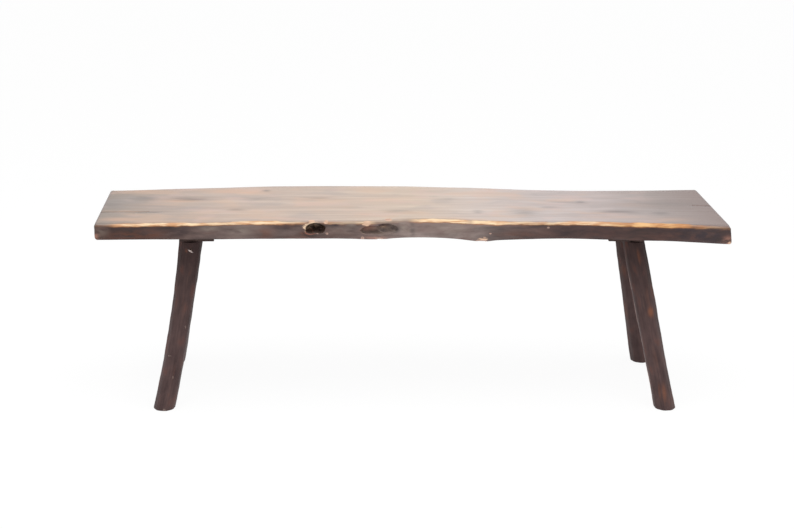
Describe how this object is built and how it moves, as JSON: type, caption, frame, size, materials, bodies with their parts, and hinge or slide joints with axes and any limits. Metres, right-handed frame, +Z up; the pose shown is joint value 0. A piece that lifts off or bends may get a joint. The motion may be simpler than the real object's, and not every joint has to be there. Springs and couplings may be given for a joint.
{
  "type": "wooden bench",
  "caption": "Rustic backless bench: a thick plank seat with waney edges on cross cleats and raked, hewn round legs.",
  "frame": {"origin": "on the floor, under the centre of the bench's bounding box", "axes": "+X along the bench, to the left of a sitter who faces forward and to the right in the picture; +Y from the front edge to the back edge; +Z up"},
  "size_m": [1.51, 0.4175, 0.46],
  "materials": {
    "seat_wood": "stained and waxed, worn along the edges",
    "cleat_wood": "sawn, dark stained",
    "leg_wood": "hewn, dark stained and waxed",
    "wedge_wood": "split, bare",
    "nail_iron": "hammered, bare iron"
  },
  "bodies": {
    "root": {"seat_plank": "seat_wood", "cleat_left": "cleat_wood", "cleat_right": "cleat_wood", "leg_front_left": "leg_wood", "leg_front_right": "leg_wood", "leg_rear_left": "leg_wood", "leg_rear_right": "leg_wood", "wedge_front_left": "wedge_wood", "wedge_front_right": "wedge_wood", "wedge_rear_left": "wedge_wood", "wedge_rear_right": "wedge_wood", "cleat_nails_left": "nail_iron", "cleat_nails_right": "nail_iron", "leg_nail_front_left": "nail_iron"}
  },
  "joints": []
}
